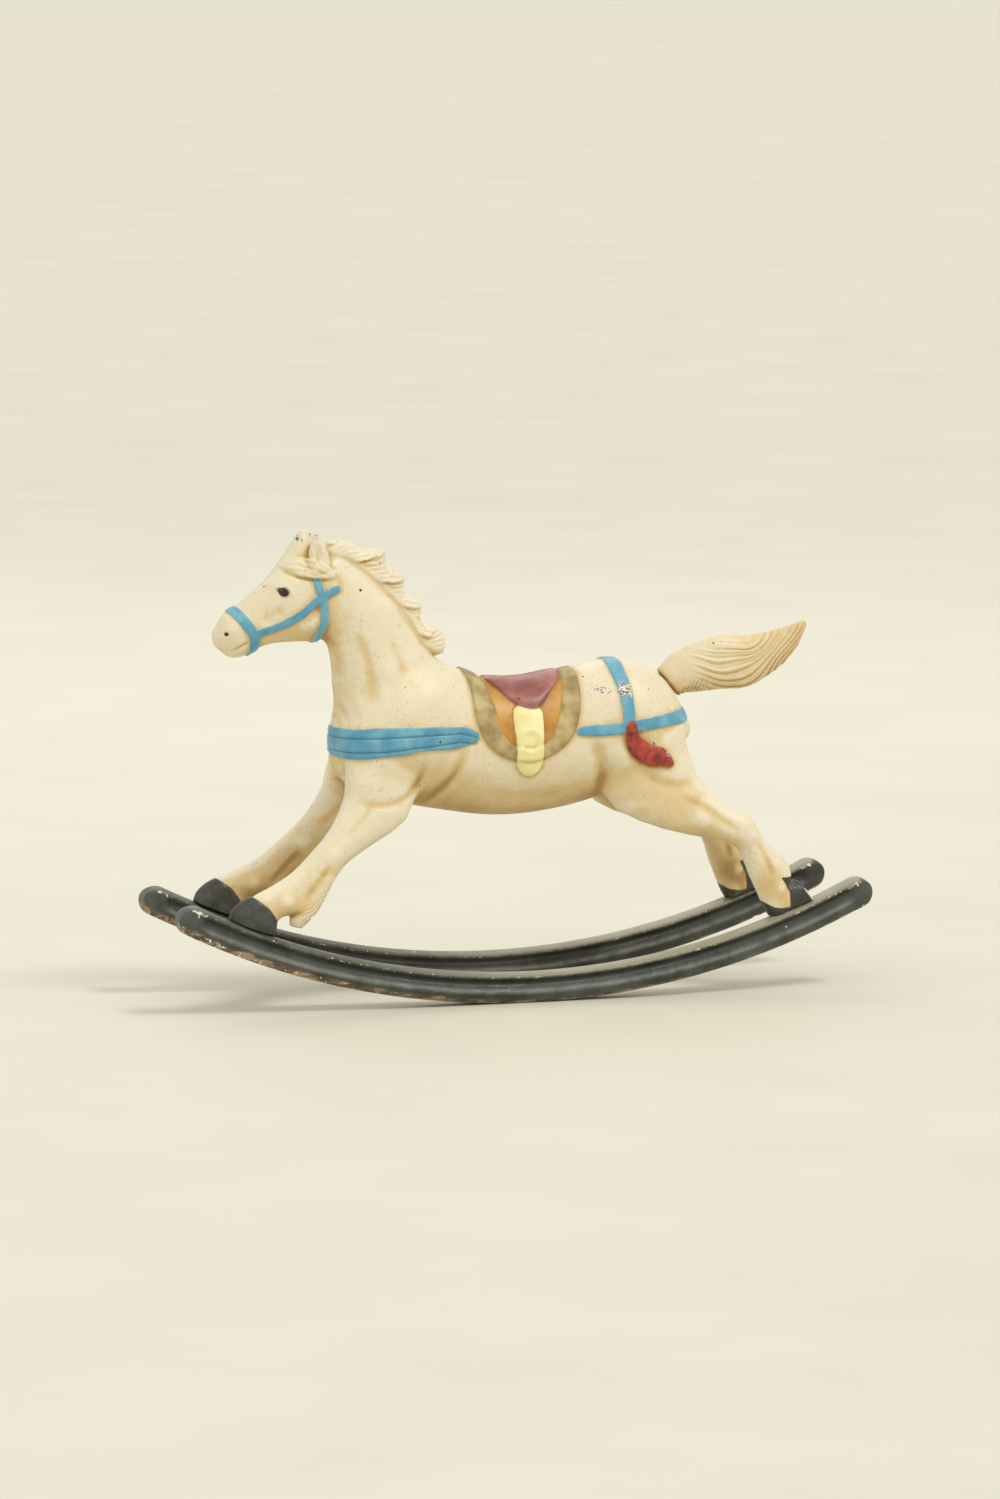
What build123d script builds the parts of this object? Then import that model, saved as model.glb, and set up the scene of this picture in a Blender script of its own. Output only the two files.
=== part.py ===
from build123d import *
import math
import os

# Hollow-cast ornamental rocking horse on two cast rockers.
# Millimetres.  The horse faces -X, its left side is at -Y, +Z is up and z = 0 is the table.

# ---- driving dimensions -------------------------------------------------------------------
ROCKER_R = 476.0          # radius of the rolling edge
ROCKER_H = 18.0           # radial height of a rocker bar
ROCKER_W = 18.0           # width of a rocker bar
ROCKER_Y = 43.0           # centre of each rocker from the middle plane
ROCKER_HALF = 216.0       # half of the rocker length
FOOT_Y = 40.5             # centre of each hoof and its screw from the middle plane
FLUTE_R = 2.2             # radius of the groove along both side faces
WALL = 4.0                # wall of the hollow casting
RELIEF = 1.4              # how far straps and saddle blanket stand off the body
BRIDLE_RELIEF = 0.8       # how far the bridle stands off the head
SCREW_R = 2.0             # shank radius of every screw
CLEAR_R = 2.3             # clearance hole radius
HEAD_R = 3.6              # screw head radius
HEAD_H = 2.6              # screw head height
BOSS_R = 5.5              # screw boss inside the casting
PIN_R = 1.8               # cross pin through the tail lug
STEPS = 3                 # loft steps between two stations
FRONT_FOOT_X = -167.0     # where the front hoof screws cross the rocker
HIND_FOOT_X = 171.0       # where the hind hoof screws cross the rocker

ARC_CENTRE = (0.0, ROCKER_R)
TOP_R = ROCKER_R - ROCKER_H

# Torso stations: x, lowest z, highest z, half width.
TORSO = [
    (-109, 149, 161, 7), (-105, 138, 174, 18), (-97, 127, 188, 26), (-82, 119, 199, 31.5),
    (-60, 115, 205, 33), (-38, 111, 201, 32.5), (-12, 107.5, 190.5, 32), (12, 107.5, 190.5, 32),
    (36, 111, 195, 32), (60, 117, 200, 33.5), (82, 124, 196, 32.5), (98, 133, 187, 26),
    (108, 142, 172, 17), (114, 150, 160, 6),
]
# Neck and head stations: front or lower point (x, z), back or upper point (x, z), half width.
NECK = [
    ((-103, 158), (-36, 190), 29), ((-108, 186), (-48, 205), 22), ((-110.5, 205), (-61, 224), 17.5),
    ((-114, 216), (-75, 243), 15), ((-123, 222), (-89, 258), 13.5), ((-135, 236), (-103, 268), 12),
]
HEAD = [
    ((-106, 232), (-108, 264), 11), ((-115, 217), (-122, 270), 13.5), ((-128, 215.5), (-138, 266), 14.5),
    ((-142, 215.2), (-148, 254), 13.5), ((-153, 213), (-158, 246), 11.5),
    ((-164, 207.5), (-168, 237.5), 10.8),
    ((-174, 207.5), (-177, 232), 10), ((-180.2, 214), (-181.2, 224), 6),
]
# Left leg stations: front (x, z), back (x, z), centre y, half width.
FRONT_LEG = [
    ((-104, 152), (-60, 132), -17, 13), ((-108, 126), (-70, 110), -24, 12),
    ((-118, 107), (-90, 98), -29.5, 10),
    ((-131, 93.5), (-108, 86), -33, 8.5), ((-144, 82.5), (-120, 71), -36.5, 7.6),
    ((-158, 75), (-135, 52), -39, 7.6), ((-170, 70), (-153, 53), -FOOT_Y, 7.8),
    ((-182, 61), (-155, 42), -FOOT_Y, 8.3), ((-185, 52), (-158, 36), -FOOT_Y, 8.5),
]
HIND_LEG = [
    ((52, 128), (110, 160), -17, 14), ((62, 110), (115, 128), -23, 13), ((90, 98), (124, 115), -28.5, 11),
    ((117, 92), (136, 107), -32, 9), ((133, 86), (151, 98), -35, 8), ((142, 73), (162, 82), -38, 7.2),
    ((149, 58), (167, 68), -39.5, 7.8), ((153, 45), (169, 54), -FOOT_Y, 7.6),
]
HIND_HOOF = [
    ((158, 40), (160.5, 65.5), -FOOT_Y, 7.6), ((170, 42), (168, 65), -FOOT_Y, 8.0),
    ((183, 47), (173.5, 63), -FOOT_Y, 8.2),
]
# Tail stations: lower point (x, z), upper point (x, z), half width.
TAIL = [
    ((107.5, 176.5), (95.5, 190.5), 6), ((113, 177), (104, 200), 7.5), ((121, 177), (118, 208), 8.5),
    ((136, 177.5), (134, 212.5), 9), ((153, 178.5), (152, 210.5), 8.5), ((172, 189), (167, 213), 7),
    ((184, 201), (177, 215.5), 5), ((191, 214), (188, 219), 2),
]
TAIL_LUG_START = (103.5, 184.5)
TAIL_LUG_DIR = (-0.78, -0.626)
TAIL_LUG_LEN = 20.0
TAIL_LUG_R = 5.0

# Outline of the mane above the neck, x and z.
MANE = [
    (-113, 262), (-110, 275.7), (-98.3, 274.2), (-87.2, 269.6), (-78.4, 269.9), (-75.7, 267), (-74.6, 257.5),
    (-65, 256.6), (-62.9, 253), (-62.9, 243), (-57.4, 239.2), (-52.5, 234.8), (-52.5, 224), (-43, 220.4),
    (-38.6, 213), (-40, 203), (-62, 212), (-84, 243), (-100, 258),
]
EAR_BASE, EAR_TIP = (-117, -8, 265), (-122.5, -9.5, 282.5)

# Side-view outlines of the tack cast on the body, x and z.
BLANKET = [
    (-28, 215), (-31, 200), (-29, 186), (-28, 168), (-21, 152), (-10, 144.5), (4, 142.5), (14, 144),
    (24, 149), (32, 157), (36.5, 169), (39.5, 190), (40, 215),
]
SEAT = [(-16, 215), (-17, 191), (-9, 183), (3, 174), (10, 173), (21, 183), (34, 199), (34, 215)]
STIRRUP_LEATHER = [(-4.5, 178), (-4, 145), (-3, 137), (3, 133), (9, 134.5), (12.3, 140), (14, 178)]
BREAST_STRAP = [
    (-112, 164), (-85, 165.7), (-39, 165), (-28, 160), (-28, 155), (-42, 151.3), (-64, 151),
    (-85, 148.5), (-112, 146),
]
RUMP_STRAP = [(34, 161.8), (62, 164), (118, 170.5), (118, 162), (74, 158.6), (34, 156.8)]
CROUP_STRAP = [(59, 215), (60, 193), (64, 172), (64, 160), (71.5, 160), (71, 183), (69, 215)]
TASSEL = [(66, 161), (72, 164), (76, 154), (85, 148.5), (99, 141), (96, 136.5), (81, 136.5), (71, 142), (66, 149)]
# Bridle straps: centre line seen from the side, and half width.
BRIDLE = [
    ([(-178, 241), (-170, 235), (-161, 224), (-158.3, 214), (-159, 204)], 3.1),
    ([(-158, 221.5), (-146, 225), (-126, 237), (-109.5, 247)], 2.4),
    ([(-121.3, 254), (-116.8, 236), (-117, 226), (-120, 212)], 2.5),
]

# Body screws: x, z of the axis.
NECK_SCREW = (-88.0, 222.0)
SHOULDER_SCREW = (-62.0, 168.0)
RUMP_SCREW = (62.0, 165.0)


# ---- helpers ------------------------------------------------------------------------------
def section(low, high, y, half_width, toward, grow=0.0):
    """An ellipse whose long axis joins two points of the side outline."""
    cx, cz = (low[0] + high[0]) / 2, (low[1] + high[1]) / 2
    dx, dz = high[0] - low[0], high[1] - low[1]
    half = math.hypot(dx, dz) / 2
    normal = (dz, 0, -dx)
    if normal[0] * toward[0] + normal[2] * toward[1] < 0:
        normal = (-normal[0], 0, -normal[2])
    plane = Plane(origin=(cx, y, cz), x_dir=(0, 1, 0), z_dir=normal)
    return plane * Ellipse(half_width + grow, half + grow)


def smooth(rows):
    """Catmull-Rom points between neighbouring stations, so straight-sided lofts look round."""
    flat = [(lo[0], lo[1], hi[0], hi[1], y, hw) for lo, hi, y, hw in rows]
    flat = [flat[0]] + flat + [flat[-1]]
    dense = []
    for p0, p1, p2, p3 in zip(flat, flat[1:], flat[2:], flat[3:]):
        for step in range(STEPS):
            t = step / STEPS
            dense.append([
                b + 0.5 * ((c - a) * t + (2 * a - 5 * b + 4 * c - d) * t ** 2
                           + (3 * b - a - 3 * c + d) * t ** 3)
                for a, b, c, d in zip(p0, p1, p2, p3)
            ])
    dense.append(flat[-1])
    return [((r[0], r[1]), (r[2], r[3]), r[4], r[5]) for r in dense]


def limb(stations, grow=0.0):
    """Loft through stations given as low point, high point, y, half width."""
    rows = smooth(stations)
    faces = []
    for i, (low, high, y, hw) in enumerate(rows):
        before, after = rows[max(i - 1, 0)], rows[min(i + 1, len(rows) - 1)]
        toward = [
            (after[0][k] + after[1][k]) - (before[0][k] + before[1][k]) for k in range(2)
        ]
        faces.append(section(low, high, y, hw, toward, grow))
    return loft(faces, ruled=True)


def torso(grow=0.0):
    rows = [((x, z0), (x, z1), 0.0, hw) for x, z0, z1, hw in TORSO]
    return limb(rows, grow)


def side_prism(points, y0, y1):
    """A slab cut to a side-view outline between two y values."""
    face = make_face(Polyline(*[(x, z) for x, z in points], close=True))
    solid = extrude(face, amount=1)
    solid = Rotation(90, 0, 0) * solid           # local y becomes z, the slab runs toward -Y
    solid = scale(solid, by=(1, y1 - y0, 1))
    return Pos(0, y1, 0) * solid


def band(points, half_width):
    """Outline of a strap of constant width along a centre line."""
    near, far = [], []
    for i, (x, z) in enumerate(points):
        before, after = points[max(i - 1, 0)], points[min(i + 1, len(points) - 1)]
        dx, dz = after[0] - before[0], after[1] - before[1]
        nx, nz = -dz / math.hypot(dx, dz) * half_width, dx / math.hypot(dx, dz) * half_width
        near.append((x + nx, z + nz))
        far.append((x - nx, z - nz))
    return near + far[::-1]


def y_cylinder(x, z, radius, y0, y1):
    return Pos(x, (y0 + y1) / 2, z) * Rotation(90, 0, 0) * Cylinder(radius, abs(y1 - y0))


def disc(radius, y0, y1):
    return y_cylinder(ARC_CENTRE[0], ARC_CENTRE[1], radius, y0, y1)


def radial_plane(x, y):
    """A plane on the rolling arc at this x, with local +z pointing to the arc centre."""
    angle = math.asin(x / ROCKER_R)
    z = ROCKER_R - ROCKER_R * math.cos(angle)
    return Plane(origin=(x, y, z), x_dir=(0, 1, 0), z_dir=(-math.sin(angle), 0, math.cos(angle)))


def radial_cylinder(x, y, radius, h0, h1):
    body = Pos(0, 0, (h0 + h1) / 2) * Cylinder(radius, h1 - h0)
    return radial_plane(x, y) * body


# ---- rockers ------------------------------------------------------------------------------
def rocker(y):
    half_w = ROCKER_W / 2
    ring = disc(ROCKER_R, y - half_w, y + half_w) - disc(TOP_R, y - half_w - 1, y + half_w + 1)
    end_r = ROCKER_H / 2
    mid_r = ROCKER_R - end_r
    end_angle = math.asin((ROCKER_HALF - end_r) / mid_r)
    reach = 2 * ROCKER_R
    wedge = make_face(Polyline(
        ARC_CENTRE,
        (-reach * math.sin(end_angle), ROCKER_R - reach * math.cos(end_angle)),
        (reach * math.sin(end_angle), ROCKER_R - reach * math.cos(end_angle)),
        close=True,
    ))
    wedge = Pos(0, y + half_w + 2, 0) * (Rotation(90, 0, 0) * extrude(wedge, amount=ROCKER_W + 4))
    bar = ring & wedge
    for side in (-1, 1):
        ex = side * mid_r * math.sin(end_angle)
        ez = ROCKER_R - mid_r * math.cos(end_angle)
        bar += y_cylinder(ex, ez, end_r, y - half_w, y + half_w)
    # the long edges are softened, and a flute is sunk into both side faces
    long_edges = [e for e in bar.edges() if e.length > 300]
    bar = fillet(long_edges, 2.0)
    flute_angle = end_angle - math.radians(1.2)
    flute_x, flute_z = -mid_r * math.sin(flute_angle), ROCKER_R - mid_r * math.cos(flute_angle)
    for side in (-1, 1):
        start = Plane(
            origin=(flute_x, y + side * (half_w + 0.6), flute_z),
            z_dir=(math.cos(flute_angle), 0, -math.sin(flute_angle)), x_dir=(0, 1, 0),
        )
        groove = revolve(start * Circle(FLUTE_R), axis=Axis((0, 0, ROCKER_R), (0, -1, 0)),
                         revolution_arc=math.degrees(2 * flute_angle))
        bar -= groove
    foot_y = math.copysign(FOOT_Y, y)
    for x in (FRONT_FOOT_X, HIND_FOOT_X):
        bar -= radial_cylinder(x, foot_y, CLEAR_R, -5, ROCKER_H + 5)
        bar -= radial_cylinder(x, foot_y, HEAD_R + 0.6, -5, HEAD_H + 1.6)
    return bar


# ---- cast body ----------------------------------------------------------------------------
def body_blank():
    """Left half of the casting before hollowing, as one solid for y <= 0."""
    solid = torso()
    solid += limb([(lo, hi, 0.0, hw) for lo, hi, hw in NECK])
    solid += limb([(lo, hi, 0.0, hw) for lo, hi, hw in HEAD])
    solid += side_prism(MANE, -4.2, 4.2)
    proud = torso(RELIEF)
    for outline in (BLANKET, BREAST_STRAP, RUMP_STRAP, CROUP_STRAP):
        solid += proud & side_prism(outline, -60, 60)
    prouder = torso(2 * RELIEF)
    for outline in (SEAT, STIRRUP_LEATHER, TASSEL):
        solid += prouder & side_prism(outline, -60, 60)
    proud_head = limb([(lo, hi, 0.0, hw) for lo, hi, hw in HEAD[:-1]], BRIDLE_RELIEF)
    bridle = side_prism(band(*BRIDLE[0]), -60, 60)
    for line, half_width in BRIDLE[1:]:
        bridle += side_prism(band(line, half_width), -60, 60)
    solid += proud_head & bridle
    ear_axis = Vector(*EAR_TIP) - Vector(*EAR_BASE)
    ear = Pos(0, 0, ear_axis.length / 2) * Cone(4.6, 0.9, ear_axis.length)
    ear = Plane(origin=EAR_BASE, z_dir=ear_axis) * ear
    solid += ear
    half_space = Pos(0, -100, 150) * Box(600, 200, 400)
    solid = solid & half_space
    solid += limb(FRONT_LEG)
    solid += limb(HIND_LEG)
    solid += limb(HIND_HOOF)
    return solid & disc(TOP_R, -120, 0)


def cavity():
    hollow = torso(-WALL)
    inner_neck = [(lo, hi, 0.0, hw) for lo, hi, hw in NECK]
    hollow += limb(inner_neck, -WALL)
    inner_head = [(lo, hi, 0.0, hw) for lo, hi, hw in HEAD[1:6]]
    hollow += limb(inner_head, -WALL)
    return hollow


def tail_lug(radius, extra=0.0):
    start = Vector(TAIL_LUG_START[0], 0, TAIL_LUG_START[1])
    direction = Vector(TAIL_LUG_DIR[0], 0, TAIL_LUG_DIR[1])
    length = TAIL_LUG_LEN + extra
    return Plane(origin=start, z_dir=direction) * (Pos(0, 0, length / 2) * Cylinder(radius, length))


def pin_axis():
    reach = TAIL_LUG_LEN - 6
    return (TAIL_LUG_START[0] + TAIL_LUG_DIR[0] * reach, TAIL_LUG_START[1] + TAIL_LUG_DIR[1] * reach)


blank = body_blank()
hollow = cavity()
shell = blank - hollow

screw_axes = {
    "neck": NECK_SCREW + (13.0,), "shoulder": SHOULDER_SCREW + (24.0,), "rump": RUMP_SCREW + (24.0,),
}
for x, z, _ in screw_axes.values():
    shell += blank & y_cylinder(x, z, BOSS_R, -60, 0)
# a sleeve that carries the tail lug and its cross pin
px, pz = pin_axis()
shell += blank & tail_lug(TAIL_LUG_R + 3.5, 4)
shell -= tail_lug(TAIL_LUG_R + 0.2, 0.5)

left = shell
right = mirror(shell, about=Plane.XZ)

# the left half is tapped, the right half has clearance holes and sunk heads
HEAD_DEPTH = {"neck": 4.0, "shoulder": 5.5, "rump": 5.5}
HEAD_SEAT = {}
for name, (x, z, reach) in screw_axes.items():
    surface = blank & y_cylinder(x, z, HEAD_R, -60, 0)
    seat = abs(surface.bounding_box().min.Y) - HEAD_DEPTH[name]
    HEAD_SEAT[name] = seat
    left -= y_cylinder(x, z, SCREW_R, -reach * 0.55, 1)
    right -= y_cylinder(x, z, CLEAR_R, -1, 60)
    right -= y_cylinder(x, z, HEAD_R + 0.4, seat, 60)
PIN_HALF = 9.5
left -= y_cylinder(px, pz, PIN_R, -PIN_HALF, 1)
right -= y_cylinder(px, pz, PIN_R, -1, PIN_HALF)

for x in (FRONT_FOOT_X, HIND_FOOT_X):
    left -= radial_cylinder(x, -FOOT_Y, SCREW_R, ROCKER_H - 2, ROCKER_H + 9)
    right -= radial_cylinder(x, FOOT_Y, SCREW_R, ROCKER_H - 2, ROCKER_H + 9)

# ---- tail ---------------------------------------------------------------------------------
tail = limb([(lo, hi, 0.0, hw) for lo, hi, hw in TAIL])
tail -= blank
tail -= mirror(blank, about=Plane.XZ)
tail += tail_lug(TAIL_LUG_R) - y_cylinder(px, pz, PIN_R, -20, 20)


# ---- fasteners ----------------------------------------------------------------------------
def body_screw(name):
    """Round-headed machine screw entering from the right half."""
    x, z, reach = screw_axes[name]
    seat = HEAD_SEAT[name]
    shank = y_cylinder(x, z, SCREW_R, -reach * 0.5, seat)
    head = y_cylinder(x, z, HEAD_R, seat, seat + HEAD_H)
    slot = Pos(x, seat + HEAD_H, z) * Box(2 * HEAD_R + 1, 2.0, 0.9)
    return shank + head - slot


def hoof_screw(x, y):
    head = radial_cylinder(x, y, HEAD_R, 0.9, 0.9 + HEAD_H)
    shank = radial_cylinder(x, y, SCREW_R, 0.9 + HEAD_H, ROCKER_H + 8)
    slot = radial_plane(x, y) * (Pos(0, 0, 0.9) * Box(2 * HEAD_R + 1, 0.9, 2.0))
    return head + shank - slot


def hoof_washer(x, y):
    low = 0.9 + HEAD_H
    disc_body = radial_cylinder(x, y, HEAD_R + 0.2, low, low + 0.7)
    return disc_body - radial_cylinder(x, y, SCREW_R, low - 1, low + 2)


feet = [(x, y) for x in (FRONT_FOOT_X, HIND_FOOT_X) for y in (-FOOT_Y, FOOT_Y)]

nodes = {
    "left_body_half": left,
    "right_body_half": right,
    "tail": tail,
    "left_rocker": rocker(-ROCKER_Y),
    "right_rocker": rocker(ROCKER_Y),
    "neck_screw": body_screw("neck"),
    "shoulder_screw": body_screw("shoulder"),
    "rump_screw": body_screw("rump"),
    "tail_cross_pin": y_cylinder(px, pz, PIN_R, -PIN_HALF, PIN_HALF),
    "hoof_screws": Compound(children=[hoof_screw(x, y) for x, y in feet]),
    "hoof_screw_washers": Compound(children=[hoof_washer(x, y) for x, y in feet]),
}

os.makedirs("parts", exist_ok=True)
for node, shape in nodes.items():
    export_step(shape, "parts/" + node + ".step")
    box = shape.bounding_box()
    print(node, "solids", len(shape.solids()), "volume", round(shape.volume),
          "x %.1f..%.1f y %.1f..%.1f z %.1f..%.1f" % (
              box.min.X, box.max.X, box.min.Y, box.max.Y, box.min.Z, box.max.Z))
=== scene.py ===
import math

import bpy
import numpy as np
import openvdb
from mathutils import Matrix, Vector


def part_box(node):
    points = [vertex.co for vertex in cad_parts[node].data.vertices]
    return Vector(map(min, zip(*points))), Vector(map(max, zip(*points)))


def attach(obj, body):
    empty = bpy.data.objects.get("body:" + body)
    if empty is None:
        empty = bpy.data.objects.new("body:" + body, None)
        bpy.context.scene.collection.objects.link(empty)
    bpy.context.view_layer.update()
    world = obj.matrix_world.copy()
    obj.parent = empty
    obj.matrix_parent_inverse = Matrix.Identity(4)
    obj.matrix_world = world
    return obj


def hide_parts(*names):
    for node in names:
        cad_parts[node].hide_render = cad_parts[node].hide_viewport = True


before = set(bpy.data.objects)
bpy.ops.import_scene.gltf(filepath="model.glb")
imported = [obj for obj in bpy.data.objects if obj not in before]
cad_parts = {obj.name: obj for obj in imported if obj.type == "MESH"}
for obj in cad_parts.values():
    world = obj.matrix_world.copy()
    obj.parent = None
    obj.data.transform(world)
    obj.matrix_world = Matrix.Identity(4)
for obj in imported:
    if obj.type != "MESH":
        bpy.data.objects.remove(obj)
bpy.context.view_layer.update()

# All sculpting is in millimetres in the row frame: the horse faces -X, its left side is at -Y.
MM = 0.001
BODY_STEP = 0.75      # voxel of the horse
ROCKER_STEP = 0.6     # voxel of the rockers
TAIL_STEP = 0.5       # voxel of the tail
FAR = 9.0                               # distances are only tracked this far from a surface


def mm_box(node):
    low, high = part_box(node)
    return np.array(low) / MM, np.array(high) / MM


rocker_low, rocker_high = mm_box("left_rocker")
ROCKER_Y = (rocker_low[1] + rocker_high[1]) / 2
ROCKER_W = rocker_high[1] - rocker_low[1]
ROCKER_HALF = (rocker_high[0] - rocker_low[0]) / 2 - 0.1
ROCKER_R = 476.0
ROCKER_H = 18.0
ROCKER_CROWN = 2.7                      # how far the top of a rocker falls to its edges
FLUTE_RISE, BEAD_RISE = 11.8, 6.2       # the moulding of the side faces, above the rolling edge
TOP_R = ROCKER_R - ROCKER_H
FOOT_X, FOOT_Y = (-167.0, 171.0), 40.5  # where the hoof screws enter the rolling edges
FOOT_BORE_R = FOOT_BORE_DEPTH = 4.2     # their counterbores
BODY_SCREWS = ("neck_screw", "shoulder_screw", "rump_screw")
BODY_BORE_R = 4.0                       # the counterbores of the body screws
BODY_HEAD_HEIGHT, FOOT_HEAD_R = 2.6, 3.6
BODY_LOW, BODY_HIGH = (-188, -60, 38), (188, 6, 290)    # the block that the left half is sculpted in

# ---- stations of the horse: low or front (x, z), high or back (x, z), y, half width ----
TORSO = [
    (-109, 149, 161, 7), (-105, 138, 174, 18), (-97, 127, 188, 26), (-82, 119, 198, 31.5),
    (-60, 115, 203, 33), (-38, 111, 199.5, 32.5), (-14, 107.5, 188.5, 32), (10, 107.5, 187.5, 32),
    (36, 111, 193, 32), (60, 117, 199, 33), (82, 124, 196, 31.5), (97, 133, 187, 24),
    (107, 142, 173, 15.5), (112.5, 149, 161, 6),
]
NECK = [
    ((-103, 158), (-36, 190), 0, 29), ((-108, 186), (-48, 205), 0, 22), ((-110.5, 205), (-61, 224), 0, 17.5),
    ((-114, 216), (-75, 243), 0, 15), ((-123, 222), (-89, 258), 0, 13.5), ((-135, 236), (-103, 268), 0, 12),
]
HEAD = [
    ((-106, 232), (-108, 264), 0, 11), ((-115, 217), (-122, 270), 0, 13), ((-128, 215.5), (-138, 266), 0, 14),
    ((-142, 215.2), (-148, 254), 0, 12.5), ((-153, 213), (-158, 246), 0, 10.6),
    ((-164, 207.5), (-168, 237.5), 0, 10.2), ((-173, 207.5), (-176, 233), 0, 9.8),
    ((-179, 213), (-180, 225), 0, 6),
]
FRONT_LEG = [
    ((-104, 152), (-60, 132), -17, 13), ((-108, 126), (-70, 110), -24, 12),
    ((-118, 107), (-90, 98), -29.5, 10), ((-131, 93.5), (-110, 86), -33, 8.3),
    ((-144, 82.5), (-121, 72), -36.5, 7.2), ((-156, 76), (-132, 58), -39, 7.0),
    ((-162.5, 73), (-144.5, 57.5), -40, 6.8), ((-166.5, 71.3), (-151, 57), -40.5, 6.8),
    ((-170.5, 69), (-154.5, 54), -40.5, 7.0),
]
FRONT_HOOF = [
    ((-170.5, 70), (-154.5, 54.5), -40.5, 7.4), ((-176.5, 67), (-155, 49), -40.5, 7.9),
    ((-182.5, 61.5), (-157, 42), -40.5, 8.3), ((-184.5, 55), (-159, 36), -40.5, 8.4),
]
FRONT_FEATHER = [
    ((-137, 82), (-119, 78.5), -37, 5.3), ((-140, 72), (-123.5, 69), -38, 6.0),
    ((-142.5, 62), (-129.5, 59), -38.5, 5.8), ((-146, 57.5), (-133.5, 55), -39, 5.4),
    ((-146.5, 53), (-137.5, 51), -39.3, 3.8),
]
HIND_LEG = [
    ((52, 128), (104, 160), -16, 14), ((62, 110), (112.5, 130), -22, 13),
    ((90, 98), (124, 115), -28.5, 11), ((116, 92), (135, 108), -32, 9), ((131, 88), (144, 103.5), -34.5, 7.8),
    ((137, 79.5), (150, 90.5), -36.5, 7.0), ((140, 70.5), (162, 80), -38, 7.2),
    ((145, 59), (167, 69.5), -39.5, 7.8),
    ((149.5, 49), (164.5, 56), -40.5, 7.6), ((154, 42), (165, 47), -40.5, 7.2),
]
HIND_HOOF = [
    ((156, 43), (160.5, 65.5), -40.5, 7.4), ((168, 44), (168, 65.5), -40.5, 8.0),
    ((190, 50), (177, 66), -40.5, 8.4),
]
# The flat sole of the hind hoof: two points of its edge, and where its chipped paint ends.
HIND_SOLE = ((171.5, 64), (181, 51))
SOLE_CHIP_END = (183.6, 47.5)
SOLE_HALF_WIDTH = 7.8
TAIL = [
    ((107.5, 175), (95, 191), 0, 6.4), ((112, 176.5), (104, 200.5), 0, 7.6), ((121, 177), (118, 207), 0, 8.3),
    ((136, 178), (134, 211.5), 0, 8.6), ((153, 179), (152, 210), 0, 8.2), ((172, 190), (167, 212.5), 0, 6.6),
    ((183, 201), (177, 215), 0, 4.4), ((189.5, 214), (187.5, 218.2), 0, 1.8),
]
EAR = [
    ((-125, 260), (-112, 259), -8.5, 4.5), ((-125.5, 270), (-113.5, 268), -9.3, 3.8),
    ((-123, 279), (-119, 279), -9.6, 1.4),
]
POLL = [
    ((-146, 255), (-112, 260), 0, 8.5), ((-139.5, 266), (-116, 268), 0, 7.0),
    ((-133.8, 274.5), (-120.5, 275.5), 0, 5.2),
    ((-129, 280.3), (-123.5, 280.8), 0, 2.4),
]

# ---- side-view outlines of what is cast and painted on the horse ----
MANE = [
    (-114, 262), (-113, 273.5), (-106, 275.5), (-99, 274.5), (-91, 270), (-84, 269), (-79.5, 270),
    (-75.5, 267.5),
    (-76, 257), (-69, 257), (-63.5, 254), (-65.5, 243), (-59, 240.5), (-53.5, 236), (-55, 224.5),
    (-47, 223.5),
    (-40.5, 218.5), (-38.8, 212), (-41, 204), (-60, 205), (-84, 240), (-100, 258),
]
# The root line of the mane, from the poll down to the withers.
MANE_ROOT = [(-111, 267), (-101, 264), (-90, 256), (-79, 246), (-68, 234), (-61, 224), (-55, 212), (-43, 203)]
MANE_HAIR = MANE[:18] + MANE_ROOT[::-1]
LOCK_PITCH, LOCK_START = 20.0, 0.35      # locks along the root line: spacing in mm, and phase
BLANKET = [
    (-28, 230), (-31, 200), (-30, 194), (-29, 186), (-29, 173), (-27, 163), (-21, 152), (-10, 144.5),
    (4, 142.5),
    (14, 144), (24, 149), (32, 157), (36.5, 169), (38.5, 181), (39.5, 190), (40, 196), (40, 230),
]
FLAP = [
    (-21, 200), (-19, 188), (-15.5, 176), (-14.5, 164), (-10, 156), (-3, 150.5), (13, 151), (21, 161),
    (26, 176),
    (30, 188), (32, 200),
]
SEAT = [
    (-17, 191), (-13, 187.5), (-9, 183), (-3, 177), (3, 174), (10, 173), (15, 176), (21, 183), (29, 190),
    (34, 199), (10, 230), (-14, 230),
]
STIRRUP = [
    (-4.5, 176), (-4.8, 164), (-3.8, 153), (-4.2, 144.5), (-3, 137), (3, 133), (9, 134.5), (12.3, 140),
    (12.6, 146),
    (13.4, 161), (14, 176),
]
BREAST_STRAP = [
    (-125, 164), (-101, 164), (-85, 165.7), (-39, 165.2), (-31, 163), (-27, 160.5), (-27.5, 156),
    (-34, 153.8),
    (-42, 151.6), (-52, 151.6), (-64, 151.4), (-72, 148.8), (-84, 148.6), (-95, 147), (-125, 146),
]
RUMP_STRAP = [
    (34, 161.8), (46, 163), (62, 164), (86, 167), (125, 171), (125, 162.5), (74, 158.6), (62, 157),
    (46, 156), (34, 156.8),
]
CROUP_STRAP = [
    (58, 225), (59, 193), (61.5, 183), (62.5, 172), (62.5, 160), (70, 160), (70, 172), (69.5, 183),
    (68.5, 192), (68, 225),
]
TASSEL = [
    (64.5, 163), (67.5, 165.5), (70, 164), (71.5, 158), (74.5, 153.5), (82, 149), (89, 147.5), (93, 143),
    (96, 137.5),
    (92, 135.5), (87, 137), (80, 136.5), (70, 141.5), (64.5, 149), (63.5, 156),
]
NOSEBAND = [
    (-176.5, 241), (-170, 235), (-165.5, 229.5), (-161, 223.5), (-158.5, 219), (-158.3, 214), (-159.5, 205),
]
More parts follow.
